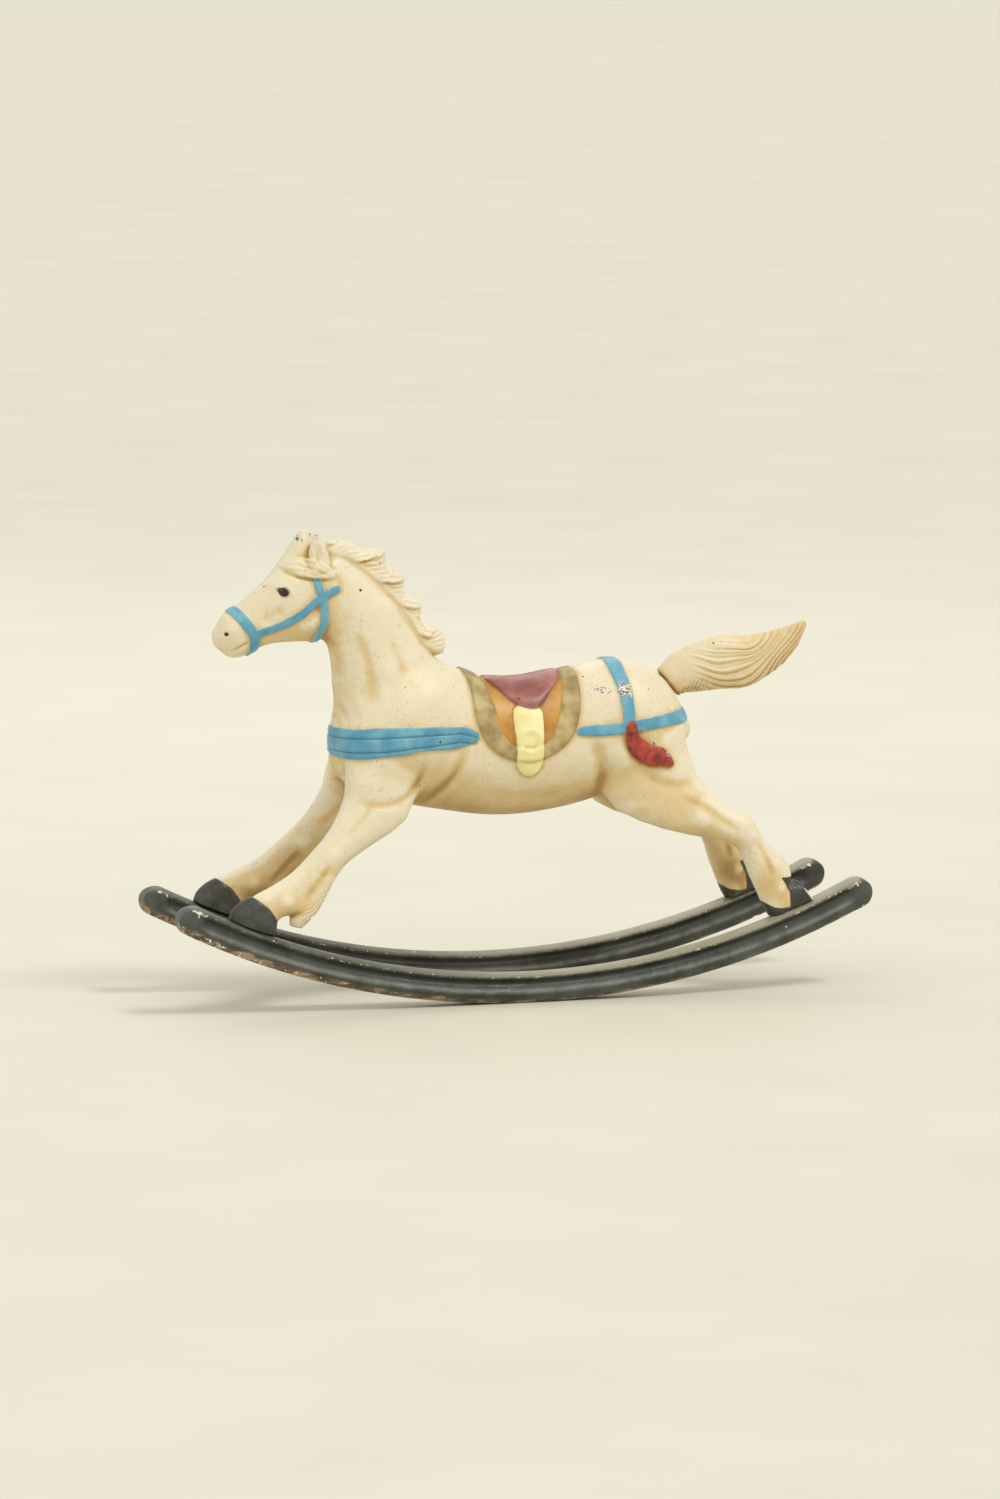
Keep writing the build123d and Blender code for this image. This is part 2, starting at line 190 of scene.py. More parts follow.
CHEEK_STRAP = [(-158, 221.5), (-146, 225), (-135, 230), (-126, 237), (-120, 242), (-109.5, 247)]
CROWN_STRAP = [(-121.3, 252), (-119, 244), (-116.8, 236), (-117, 226), (-119.5, 219), (-121, 212)]
FORELOCK = [
    (-143, 261.5), (-134, 266.5), (-124, 266), (-114, 261.5), (-109, 257), (-111, 253.5), (-121, 253.5),
    (-132, 255.5),
]
FRONT_HOOF_MARK = [
    (-168, 76), (-170.6, 70.5), (-161.5, 63.5), (-155, 55), (-152, 48), (-150, 30), (-200, 30), (-200, 76),
]
# The hind mark also turns a band along the base of the leg in front of the hoof black, down to the rocker
# top.
HIND_HOOF_MARK = [
    (158.5, 68), (163.4, 59.5), (163.8, 50.2), (158, 49.6), (153, 50.6), (148.5, 53), (144, 56), (138, 50),
    (148, 36),
    (200, 36), (200, 68),
]
EYE = (-142.3, 246.6)
NOSTRIL = (-176, 222)
STIRRUP_RING = (4.5, 154.5)
# Chipped paint: the worn place on the croup strap, scratches beside it, small spots (x, z, faintness).
CROUP_CHIP = (65.5, 183)
SCRATCHES = (52.5, 183)
CHIP_SPOTS = [(-121.5, 279.0, 2.4), (-131.0, 277.5, 2.4), (82.0, 150.5, 3.0), (91.0, 144.0, 3.0)]

# ---- creases pressed into the casting: points, depth, width ----
CREASES = [
    ([(-99, 224), (-92, 208), (-90, 192), (-91, 172)], 1.0, 3.8),
    ([(-79, 219), (-73, 206), (-69, 192)], 0.8, 3.4),
    ([(-112, 219), (-108, 206), (-106, 190)], 0.9, 3.0),
    ([(-60, 149), (-61, 136), (-68, 125), (-80, 120), (-94, 120), (-106, 123)], 1.3, 3.0),
    ([(-35, 152), (-38, 142), (-46, 129), (-60, 115)], 1.3, 3.6),
    ([(43, 156), (48, 145), (52, 132), (51, 118)], 1.9, 5.0),
    ([(73, 134), (86, 127), (100, 124.5), (108, 128)], 1.1, 3.6),
    ([(95, 120), (113, 112), (127, 101), (140, 94)], 1.0, 2.8),
    ([(143, 93), (150, 80), (154, 68)], 0.9, 2.4),
    ([(-120, 88), (-131, 76), (-140, 65)], 0.8, 2.4),
    ([(-114, 100), (-104, 108), (-92, 122)], 0.8, 3.0),
    ([(-30, 126), (-7, 121), (20, 121), (40, 125)], 0.5, 3.6),
    ([(-173.5, 211.2), (-167.5, 214.5), (-161.5, 217.5)], 1.0, 0.8),
    ([(-157, 230), (-148, 233), (-140, 237)], 0.9, 3.6),
    ([(-110, 256), (-106, 250), (-108, 242)], 0.8, 2.4),
    ([(-146.5, 261), (-134, 254.5), (-121, 252.3), (-110, 251.8)], 0.8, 0.9),
    ([(-132, 226), (-124, 231), (-118.5, 240)], 0.9, 2.8),
]
# Broad tan patches in the paint: line, radius, amount.
TAN_PATCHES = [
    ([(-116, 216), (-110, 200), (-107, 176)], 8, 0.55), ([(-97, 214), (-91, 186)], 7, 0.35),
    ([(-40, 116), (0, 108), (42, 117)], 11, 0.55), ([(-60, 122), (-40, 134)], 9, 0.5),
    ([(54, 122), (84, 110), (112, 101)], 13, 0.6), ([(74, 130), (102, 118)], 11, 0.35),
    ([(118, 96), (140, 86), (150, 66)], 9, 0.4), ([(153, 62), (160, 52)], 10, 0.75),
    ([(-112, 122), (-122, 100), (-138, 86)], 7, 0.35), ([(-124, 78), (-140, 60)], 9, 0.6),
    ([(-160, 66), (-148, 62)], 8, 0.45), ([(-178, 212), (-150, 213)], 7, 0.5),
    ([(-136, 220), (-122, 216)], 8, 0.35),
    ([(-104, 146), (-98, 124)], 9, 0.3), ([(-126, 262), (-124, 276)], 7, 0.35),
    ([(-112, 240), (-104, 232)], 6, 0.3),
    ([(104, 178), (110, 150)], 7, 0.35),
]
# Muscles and bones raised on it: x, z, radius, height.
BULGES = [
    (-126, 228, 12, 1.8), (-84, 150, 18, 2.0), (-98, 134, 12, 2.0), (-56, 152, 14, 1.4), (78, 172, 22, 1.2),
    (62, 142, 13, 2.2), (84, 142, 14, 1.8), (-76, 236, 12, 0.8), (-120, 91, 8, 1.4), (143, 93, 6, 1.3),
    (-149, 67, 7, 1.0), (-152, 226, 6, 0.8), (-172, 224, 6, 1.0), (-122, 258, 8, 0.8), (158, 62, 7, 0.9),
    (-148, 251, 7, 0.8), (110, 104, 9, 1.0), (-82, 200, 9, 0.9), (-100, 178, 9, 0.8),
]
# Hair combed in grooves: region, direction of the strands, pitch, depth.
FEATHERS = [
    ([(-120, 76), (-112, 66), (-120, 50), (-140, 46), (-140, 60), (-130, 68)], (0.75, 0.66), 2.3, 0.45),
    ([(157, 90), (170, 78), (172, 62), (163, 62), (158, 76)], (0.5, -0.86), 2.2, 0.4),
]


# ---- distance helpers ----
def bell(v):
    """1 at 0, and next to nothing beyond 2 either way."""
    return np.exp(-v ** 2)


def catmull_rom(a, b, c, d, t):
    """Value at t of the way from b to c, on the curve through a, b, c and d."""
    square, cube = 2 * a - 5 * b + 4 * c - d, 3 * b - a - 3 * c + d
    return 0.5 * (2 * b + (c - a) * t + square * t ** 2 + cube * t ** 3)


def smooth_rows(stations, steps):
    """Catmull-Rom rows between stations: low x, low z, high x, high z, y, half width."""
    flat = [(lo[0], lo[1], hi[0], hi[1], y, hw) for lo, hi, y, hw in stations]
    flat = [flat[0]] + flat + [flat[-1]]
    rows = []
    for four in zip(flat, flat[1:], flat[2:], flat[3:]):
        for k in range(steps):
            rows.append([catmull_rom(*values, k / steps) for values in zip(*four)])
    return np.array(rows + [list(flat[-1])])


def crease_strength(distance, along, depth, width):
    """A groove with a soft section that runs out at both ends."""
    length = max(float(along.max()), 1e-6)
    t = along / length
    ends = smooth_step(t, 0.0, 0.3) * (1 - smooth_step(t, 0.7, 1.0))
    return depth * bell(distance / width) * (0.1 + 0.9 * ends)


def smooth_min(a, b, k):
    """Union of two solids with a fillet about k wide."""
    h = np.clip(0.5 + 0.5 * (b - a) / k, 0, 1)
    return b + (a - b) * h - k * h * (1 - h)


def smooth_step(x, edge0, edge1):
    t = np.clip((x - edge0) / (edge1 - edge0), 0, 1)
    return t * t * (3 - 2 * t)


def line_distance(x, z, points):
    """Distance to a polyline, and how far along it the nearest point is."""
    best = np.full(np.broadcast(x, z).shape, 1e9)
    along = np.zeros_like(best)
    run = 0.0
    for (x0, z0), (x1, z1) in zip(points, points[1:]):
        dx, dz = x1 - x0, z1 - z0
        length = math.hypot(dx, dz)
        t = np.clip(((x - x0) * dx + (z - z0) * dz) / length ** 2, 0, 1)
        d = np.hypot(x - x0 - t * dx, z - z0 - t * dz)
        closer = d < best
        best = np.where(closer, d, best)
        along = np.where(closer, run + t * length, along)
        run += length
    return best, along


def area_distance(x, z, points):
    """Signed distance to a closed outline, negative inside."""
    d, _ = line_distance(x, z, list(points) + [points[0]])
    inside = np.zeros(d.shape, bool)
    for (x0, z0), (x1, z1) in zip(points, list(points[1:]) + [points[0]]):
        if z0 == z1:
            continue
        crosses = (z0 > z) != (z1 > z)
        inside ^= crosses & (x < (x1 - x0) * (z - z0) / (z1 - z0) + x0)
    return np.where(inside, -d, d)


def quarter_points(a, b):
    """The points a quarter and three quarters of the way from a to b."""
    return [tuple((1 - t) * p + t * q for p, q in zip(a, b)) for t in (0.25, 0.75)]


def round_outline(points, times=2):
    """A closed outline with its corners cut (Chaikin), so it is a curve."""
    for _ in range(times):
        points = [q for a, b in zip(points, points[1:] + points[:1]) for q in quarter_points(a, b)]
    return points


def round_line(points, times=2):
    """The same for an open line, whose ends stay."""
    for _ in range(times):
        cut = [q for a, b in zip(points, points[1:]) for q in quarter_points(a, b)]
        points = [points[0]] + cut + [points[-1]]
    return points


class Field:
    """A block of signed distances, negative inside the solid."""

    def __init__(self, low, high, step):
        self.low, self.step = np.array(low, float), step
        self.shape = tuple(int(math.ceil((b - a) / step)) + 1 for a, b in zip(low, high))
        self.d = np.full(self.shape, FAR, np.float32)

    def window(self, low, high):
        """Slices of the cells between two corners."""
        cells = []
        for axis in range(3):
            a = int((low[axis] - self.low[axis]) / self.step)
            b = int((high[axis] - self.low[axis]) / self.step) + 2
            cells.append(slice(max(a, 0), max(min(b, self.shape[axis]), 0)))
        return tuple(cells)

    def grid(self, cells=None):
        """Open x, y, z arrays of a window, which broadcast against its distances."""
        cells = cells or tuple(slice(0, n) for n in self.shape)
        lines = [self.low[k] + self.step * np.arange(c.start, c.stop) for k, c in enumerate(cells)]
        return (lines[0][:, None, None], lines[1][None, :, None], lines[2][None, None, :])

    def add_limb(self, stations, blend, steps=2):
        """Joins on the solid that runs through elliptical stations, with a fillet about blend wide."""
        rows = smooth_rows(stations, steps)
        reach = FAR + blend
        points = np.concatenate([rows[:, 0:2], rows[:, 2:4]])
        side = np.array([rows[:, 4] - rows[:, 5], rows[:, 4] + rows[:, 5]])
        low = (points[:, 0].min() - reach, side.min() - reach, points[:, 1].min() - reach)
        high = (points[:, 0].max() + reach, side.max() + reach, points[:, 1].max() + reach)
        whole = self.window(low, high)
        best = np.full(self.d[whole].shape, FAR, np.float32)
        last = len(rows) - 2
        for number, (a, b) in enumerate(zip(rows, rows[1:])):
            cap = 0.5 * min(rows[-1][5], 5.0) if number == last else 0.0
            xs, zs = (a[0], a[2], b[0], b[2]), (a[1], a[3], b[1], b[3])
            ys = (a[4] - a[5], a[4] + a[5], b[4] - b[5], b[4] + b[5])
            low = (min(xs) - FAR, min(ys) - FAR, min(zs) - FAR)
            cells = self.window(low, (max(xs) + FAR, max(ys) + FAR, max(zs) + FAR))
            inner = tuple(slice(c.start - w.start, c.stop - w.start) for c, w in zip(cells, whole))
            inner = tuple(slice(max(s.start, 0), s.stop) for s in inner)
            cells = tuple(slice(s.start + w.start, s.stop + w.start) for s, w in zip(inner, whole))
            best[inner] = np.minimum(best[inner], limb_piece(*self.grid(cells), a, b, cap))
        self.d[whole] = smooth_min(self.d[whole], best, blend)

    def mesh(self):
        """Surface points in millimetres and quads."""
        grid = openvdb.FloatGrid(FAR)
        grid.copyFromArray(np.ascontiguousarray(self.d))
        points, quads = grid.convertToQuads(isovalue=0.0)
        return points * self.step + self.low, quads[:, ::-1]


def limb_piece(x, y, z, a, b, cap):
    """Distance to the skin between two elliptical sections, with an end rounded by cap."""
    # the share t of the way from section a to section b whose section line runs through x, z
    line, low = (a[2] - a[0], a[3] - a[1]), (b[0] - a[0], b[1] - a[1])
    turn = (b[2] - b[0] - line[0], b[3] - b[1] - line[1])
    qx, qz = x - a[0], z - a[1]
    c0 = line[0] * qz - line[1] * qx
    c1 = turn[0] * qz - turn[1] * qx - (line[0] * low[1] - line[1] * low[0])
    c2 = turn[1] * low[0] - turn[0] * low[1]
    axis = [(b[0] + b[2] - a[0] - a[2]) / 2, b[4] - a[4], (b[1] + b[3] - a[1] - a[3]) / 2]
    sign = -math.copysign(1, (2 * line[0] + turn[0]) * axis[2] - (2 * line[1] + turn[1]) * axis[0])
    root = c1 + sign * np.sqrt(np.maximum(c1 * c1 - 4 * c0 * c2, 0))
    t = np.clip(-2 * c0 / np.where(np.abs(root) < 1e-6, 1e-6, root), 0, 1)

    hx, hz = (line[0] + t * turn[0]) / 2, (line[1] + t * turn[1]) / 2
    half = np.sqrt(hx * hx + hz * hz)
    width = a[5] + t * (b[5] - a[5])
    qx, qy, qz = qx - t * low[0] - hx, y - a[4] - t * axis[1], qz - t * low[1] - hz
    across, past = (qx * hx + qz * hz) / half, (qx * hz - qz * hx) / half
    k0 = np.sqrt((across / half) ** 2 + (qy / width) ** 2)
    k1 = np.sqrt((across / half ** 2) ** 2 + (qy / width ** 2) ** 2)
    flat = np.maximum(k0 * (k0 - 1) / np.maximum(k1, 1e-4), -np.minimum(half, width))
    beyond = np.hypot(np.maximum(flat + cap, 0), past) - cap
    return np.minimum(np.where(np.abs(past) < 1e-3, flat, beyond), FAR).astype(np.float32)


# ---- relief of the horse, as a function of the side view ----
SHAPES = {
    "gold": round_outline(BLANKET), "amber": round_outline(FLAP), "maroon": round_outline(SEAT),
    "straw": round_outline(STIRRUP), "red": round_outline(TASSEL),
}
STRAPS = [round_outline(BREAST_STRAP, 1), round_outline(RUMP_STRAP, 1), CROUP_STRAP]
BRIDLE = [(round_line(NOSEBAND), 3.1), (round_line(CHEEK_STRAP), 2.4), (round_line(CROWN_STRAP), 2.5)]


def blue_distance(x, z):
    """Signed distance to the edge of the straps and the bridle."""
    distances = [area_distance(x, z, outline) for outline in STRAPS]
    distances += [line_distance(x, z, points)[0] - half for points, half in BRIDLE]
    return np.minimum.reduce(distances)


def eye_shape(x, z):
    """Below 1 inside the almond of the eye, which points forwards and down."""
    ex, ez = x - EYE[0], z - EYE[1]
    u, v = ex * 0.91 + ez * -0.41, ex * 0.41 + ez * 0.91
    lens = 0.62 + 0.38 * smooth_step(u, -3.4, 0.6)
    return np.hypot(u / 3.4, v / (2.6 * lens)), v


def plateau(d, edge=1.0):
    """1 inside an outline, 0 outside, with a soft shoulder."""
    return smooth_step(-d, -0.5 * edge, 0.5 * edge)


def dome(d, width):
    """Rises from the outline to 1 at this depth inside it."""
    t = np.clip(-d / width, 0, 1)
    return np.sqrt(1 - (1 - t) ** 2)


def strap_groove(x, z):
    """Distance to the two grooves along the breast strap."""
    grooves = []
    for drop in (6.2, 14.4):
        front = [(-120, 164.6 - drop), (-85, 165.6 - drop)]
        back = [(-39, 164.6 - 0.62 * drop), (-29, 162 - 0.55 * drop)]
        grooves.append(line_distance(x, z, front + back)[0])
    return np.minimum(*grooves)


def relief(x, z):
    """How far the skin stands out, seen from the side, in millimetres."""
    h = np.zeros(np.broadcast(x, z).shape)
    for points, depth, width in CREASES:
        h -= crease_strength(*line_distance(x, z, round_line(points)), depth, width)
    for cx, cz, radius, height in BULGES:
        h += height * np.exp(-((x - cx) ** 2 + (z - cz) ** 2) / (0.6 * radius) ** 2)
    for region, (ux, uz), pitch, depth in FEATHERS:
        inside = plateau(area_distance(x, z, region), 5)
        across = x * uz - z * ux + 1.2 * np.sin((x * ux + z * uz) * 0.45)
        h += inside * depth * np.sin(across * 2 * math.pi / pitch)
    # straps
    blue = blue_distance(x, z)
    h += 1.1 * plateau(blue)
    h -= 0.8 * bell(strap_groove(x, z) / 0.6)
    # saddle: rolled blanket edge, sunk flap, domed seat, stirrup strap
    gold, amber = area_distance(x, z, SHAPES["gold"]), area_distance(x, z, SHAPES["amber"])
    h += 1.0 * plateau(gold) + 0.9 * dome(gold, 5) * plateau(-amber, 3)
    h -= 0.5 * bell(amber / 0.9) * plateau(gold)
    seat = area_distance(x, z, SHAPES["maroon"])
    h += 0.7 * plateau(seat, 0.8) + 1.9 * dome(seat, 9)
    straw = area_distance(x, z, SHAPES["straw"])
    strap_free = plateau(-seat, 1)
    h += strap_free * (0.6 * plateau(straw, 0.8) + 0.9 * dome(straw, 4))
    ring = np.hypot((x - STIRRUP_RING[0]) / 6.2, (z - STIRRUP_RING[1]) / 6.4)
    h -= 0.8 * (1 - smooth_step(ring, 0.6, 1.0)) * plateau(straw, 2)
    h += 0.4 * bell((ring - 1.1) / 0.14) * plateau(straw, 2)
    red = area_distance(x, z, SHAPES["red"])
    h += 0.8 * plateau(red, 0.8) + 2.0 * dome(red, 5)
    # head
    lock = area_distance(x, z, FORELOCK)
    strands = np.sin((z + 0.32 * (x + 125) + 0.012 * (x + 125) ** 2) * 2 * math.pi / 3.3)
    h += 1.7 * dome(lock, 3.5) + 0.28 * plateau(lock, 2) * strands
    ball, above = eye_shape(x, z)
    h += 0.9 * bell(np.hypot(x - EYE[0], z - EYE[1]) / 6.5) + 0.5 * plateau((ball - 1) * 2.5, 0.8)
    h += 0.6 * bell((ball - 1.45) / 0.22) * smooth_step(above, -1.5, 1)
    h -= 0.4 * bell((ball - 1.1) / 0.12)
    nostril = np.hypot((x - NOSTRIL[0]) / 1.3, (z - NOSTRIL[1]) / 1.1)
    h += 0.35 * bell((nostril - 1.9) / 0.7) - 1.0 * bell(nostril)
    return h


# ---- the casting ----
def mane_strands(along, root):
    """Height of the hair of the mane: shingled locks that fall outwards, with fine strands in each."""
    fall = along - 1.35 * root + 0.035 * root ** 2
    lock = np.mod(fall / LOCK_PITCH + LOCK_START, 1.0)
    step = 1.5 * lock ** 2 - 0.5
    strands = np.sin(fall * 2 * math.pi / 3.9 + 0.5 * np.sin(0.4 * root))
    return step + 0.42 * strands * smooth_step(root, 2, 6)


def sculpt_half():
    """Left half of the horse, solid, and the grooves of the mane, as one field."""
    field = Field(BODY_LOW, BODY_HIGH, BODY_STEP)
    field.add_limb([((x, z0), (x, z1), 0, hw) for x, z0, z1, hw in TORSO], 1.0)
    field.add_limb(NECK, 7.0)
    field.add_limb(HEAD, 3.0)
    field.add_limb(FRONT_LEG, 6.0)
    field.add_limb(HIND_LEG, 7.0)
    # the casting is hand finished, so no section edge shows
    field.d = box_blur(box_blur(field.d, 2), 1)
    field.add_limb(FRONT_FEATHER, 2.2)
    field.add_limb(FRONT_HOOF, 0.8)
    hoof = Field(BODY_LOW, BODY_HIGH, BODY_STEP)
    hoof.add_limb(HIND_HOOF, 0.1)
    x, y, z = field.grid()
    (ax, az), (bx, bz) = HIND_SOLE
    sole = ((x - ax) * (az - bz) + (z - az) * (bx - ax)) / math.hypot(bx - ax, az - bz)
    field.d = smooth_min(field.d, np.maximum(hoof.d, sole).astype(np.float32), 0.8)
    field.add_limb(POLL, 3.0)
    field.add_limb(EAR, 1.2)

    x, y, z = field.grid()
    fx, fz = x[:, 0, :], z[0, :, :]
    lift = relief(fx, fz).astype(np.float32)
    field.d -= lift[:, None, :]

    # the mane: a comb of locks, thin at its edge, grooved along the strands
    cells = field.window((-118, -16, 198), (-34, 6, 280))
    x, y, z = field.grid(cells)
    fx, fz = x[:, 0, :], z[0, :, :]
    edge = area_distance(fx, fz, round_outline(MANE, 1))
    root, along = line_distance(fx, fz, MANE_ROOT)
    fade = smooth_step(root, 0.5, 4)
    thick = 4.8 + 1.4 * np.clip(-edge / 6, 0, 1) - 2.4 * np.clip(1 + edge / 3, 0, 1)
    half = thick + fade * mane_strands(along, root)
    blade = np.maximum(edge[:, None, :], np.abs(y) - half[:, None, :])
    field.d[cells] = smooth_min(field.d[cells], blade.astype(np.float32), 0.8)
    root_crease = (0.6 * bell(root / 1.1)).astype(np.float32)
    field.d[cells] += root_crease[:, None, :] * smooth_step(-y, 1.0, 4.0)

    # a shell-shaped hollow in the front of the ear
    cells = field.window((-136, -22, 256), (-104, 0, 286))
    x, y, z = field.grid(cells)
    hollow = np.sqrt(((x + 121) / 3.2) ** 2 + ((y + 14.5) / 3.4) ** 2 + ((z - 270) / 7.0) ** 2) - 1
    field.d[cells] = np.maximum(field.d[cells], -2.2 * hollow).astype(np.float32)

    # the hooves end on the rocker tops
    cells = field.window(BODY_LOW, (188, 6, 90))
    x, y, z = field.grid(cells)
    field.d[cells] = np.maximum(field.d[cells], np.hypot(x, z - ROCKER_R) - TOP_R).astype(np.float32)
    return field


def box_blur(values, n):
    """Mean over n cells each way along every axis."""
    for axis in range(3):
        pad = [(0, 0)] * 3
        pad[axis] = (n + 1, n)
        total = np.cumsum(np.pad(values, pad, mode="edge"), axis=axis, dtype=np.float64)
        size = values.shape[axis]
        ahead = np.take(total, np.arange(2 * n + 1, 2 * n + 1 + size), axis=axis)
        behind = np.take(total, np.arange(0, size), axis=axis)
        values = ((ahead - behind) / (2 * n + 1)).astype(np.float32)
    return values


def crevices(field, radius, stride):
    """Share of solid near each cell: over a half in hollows, under a half on ridges."""
    coarse = Field(field.low, field.low, field.step * stride)
    solid = np.clip(0.5 - field.d[::stride, ::stride, ::stride] / (1.6 * coarse.step), 0, 1)
    n = max(int(round(radius / coarse.step)), 1)
    mid = int(round(-field.low[1] / coarse.step))
    extra = 2 * n + 2
    solid = np.concatenate([solid[:, :mid + 1], solid[:, mid - 1:mid - 1 - extra:-1]], axis=1)
    coarse.d = box_blur(box_blur(solid, n), n)
    coarse.shape = coarse.d.shape
    return coarse


def sample(field, points):
    """Trilinear value of a field at points."""
    cell = np.clip((points - field.low) / field.step, 0, np.array(field.d.shape) - 1.001)
    base = cell.astype(int)
    part = cell - base
    value = np.zeros(len(points))
    for corner in range(8):
        offset = np.array([corner >> 2 & 1, corner >> 1 & 1, corner & 1])
        weight = np.prod(np.where(offset, part, 1 - part), axis=1)
        i, j, k = (base + offset).T
        value += weight * field.d[i, j, k]
    return value


def normals(field, points):
    """x, y and z of the outward normals, from the slope of the distances."""
    slope = []
    for k in range(3):
        shift = np.zeros(3)
        shift[k] = 1.5
        slope.append(sample(field, points + shift) - sample(field, points - shift))
    return np.array(slope) / np.maximum(np.sqrt(sum(v * v for v in slope)), 1e-6)


def build_mesh(name, points, quads, attributes, mirrored=False):
    points = np.array(points, float)
    if mirrored:
        points[:, 1] *= -1
        quads = quads[:, ::-1]
    mesh = bpy.data.meshes.new(name)
    mesh.vertices.add(len(points))
    mesh.vertices.foreach_set("co", (points * MM).astype(np.float32).ravel())
    mesh.loops.add(quads.size)
    mesh.loops.foreach_set("vertex_index", np.ascontiguousarray(quads, dtype=np.int32).ravel())
    mesh.polygons.add(len(quads))
    mesh.polygons.foreach_set("loop_start", np.arange(0, quads.size, 4, dtype=np.int32))
    for key, values in attributes.items():
        layer = mesh.attributes.new(key, "FLOAT", "POINT")
        layer.data.foreach_set("value", np.ascontiguousarray(values, dtype=np.float32))
    mesh.update(calc_edges=True)
    mesh.validate()
    mesh.shade_smooth()
    obj = bpy.data.objects.new(name, mesh)
    bpy.context.scene.collection.objects.link(obj)
    return obj


# Layers of the paint shader that lie only on the body; the tail has them as far away.
BODY_LAYERS = ("blue", *SHAPES, "black", "eye", "nostril", "chip_spot", "sole", "groove")
NOWHERE = 20.0


def paint_layers(points, small, large, up, inward):
    """What the paint shader reads at each vertex."""
    x, y, z = points.T
    layers = {name: area_distance(x, z, outline) for name, outline in SHAPES.items()}
    layers["blue"] = blue_distance(x, z)
    layers["black"] = np.minimum(area_distance(x, z, FRONT_HOOF_MARK), area_distance(x, z, HIND_HOOF_MARK))
    layers["eye"] = (eye_shape(x, z)[0] - 1) * 2.6
    layers["groove"] = strap_groove(x, z)
    layers["nostril"] = np.hypot(x - NOSTRIL[0], z - NOSTRIL[1]) - 1.2
    chipped = [np.hypot(x - cx, z - cz) + faintness for cx, cz, faintness in CHIP_SPOTS]
    chipped.append(np.hypot((x - CROUP_CHIP[0]) / 1.15, z - CROUP_CHIP[1]))
    slant = z - SCRATCHES[1] + 0.25 * (x - SCRATCHES[0])
    chipped.append(np.hypot((x - SCRATCHES[0]) / 3.0, slant / 1.2) + 3.2)
    layers["chip_spot"] = np.minimum.reduce(chipped)
    sole_line = line_distance(x, z, [HIND_SOLE[0], SOLE_CHIP_END])[0]
    layers["sole"] = np.hypot(sole_line, np.abs(np.abs(np.abs(y) - FOOT_Y) - SOLE_HALF_WIDTH))
    # Tan in the paint: partly an antique glaze, partly painted shade in hollows, creases, the grooves and
    # root line of the mane, on down-facing sides and on the inner sides of the legs; lighter on ridges,
    # tanner towards the bottom of the legs and along the tan patches.
    lines = np.zeros(len(x))
    for line, depth, width in CREASES:
        lines += 0.08 * crease_strength(*line_distance(x, z, round_line(line)), depth, 1.5 * width)
    for line, radius, amount in TAN_PATCHES:
        lines += amount * bell(line_distance(x, z, line)[0] / radius)
    root, along = line_distance(x, z, MANE_ROOT)
    mane = plateau(area_distance(x, z, MANE_HAIR), 2) * smooth_step(root, 0.5, 3)
    mane_grooves = 0.32 * mane * np.clip(-1.1 * mane_strands(along, root) - 0.1, 0, 1)
    hollow = np.clip((small - 0.49) * 7, -0.8, 0.8) + np.clip((large - 0.48) * 5, -0.6, 1.2)
    hollow *= 1 - 0.85 * bell(root / 3.0)       # less tan glaze and painted shade along the root of the mane
    legs = smooth_step(-z, -128, -70)
    under = np.clip(-up, 0, 1) + 0.5 * np.clip(inward, 0, 1) * smooth_step(-z, -130, -105)
    lines += 0.25 * bell(root)
    layers["wash_and_shade"] = hollow + lines + 0.3 * legs + 0.95 * under + mane_grooves
    layers["ridge"] = np.clip((0.42 - small) * 6, 0, 1)
    return layers


def build_horse():
    """The skins of the two body halves; the right one is the mirror image, with its screw holes."""
    field = sculpt_half()
    small, large = crevices(field, 1.5, 1), crevices(field, 5.0, 2)
    _, y, _ = field.grid()
    halves = []
    for side, node in ((-1, "left_body_half"), (1, "right_body_half")):
        half = Field(BODY_LOW, BODY_HIGH, BODY_STEP)
        half.d = field.d.copy()
        if side == 1:
            for screw in BODY_SCREWS:
                low, high = mm_box(screw)
                cx, cz, seat = (low[0] + high[0]) / 2, (low[2] + high[2]) / 2, high[1] - BODY_HEAD_HEIGHT
                cells = half.window((cx - 8, -60, cz - 8), (cx + 8, 6, cz + 8))
                gx, gy, gz = half.grid(cells)
                bore = np.maximum(np.hypot(gx - cx, gz - cz) - BODY_BORE_R, gy + seat)
                half.d[cells] = np.maximum(half.d[cells], -bore).astype(np.float32)
        half.d = np.maximum(half.d, y + 0.02).astype(np.float32)
        points, quads = half.mesh()
        _, inward, up = normals(field, points)
        layers = paint_layers(points, sample(small, points), sample(large, points), up, inward)
        halves.append((build_mesh(node + "_skin", points, quads, layers, mirrored=side == 1), node))
    return halves


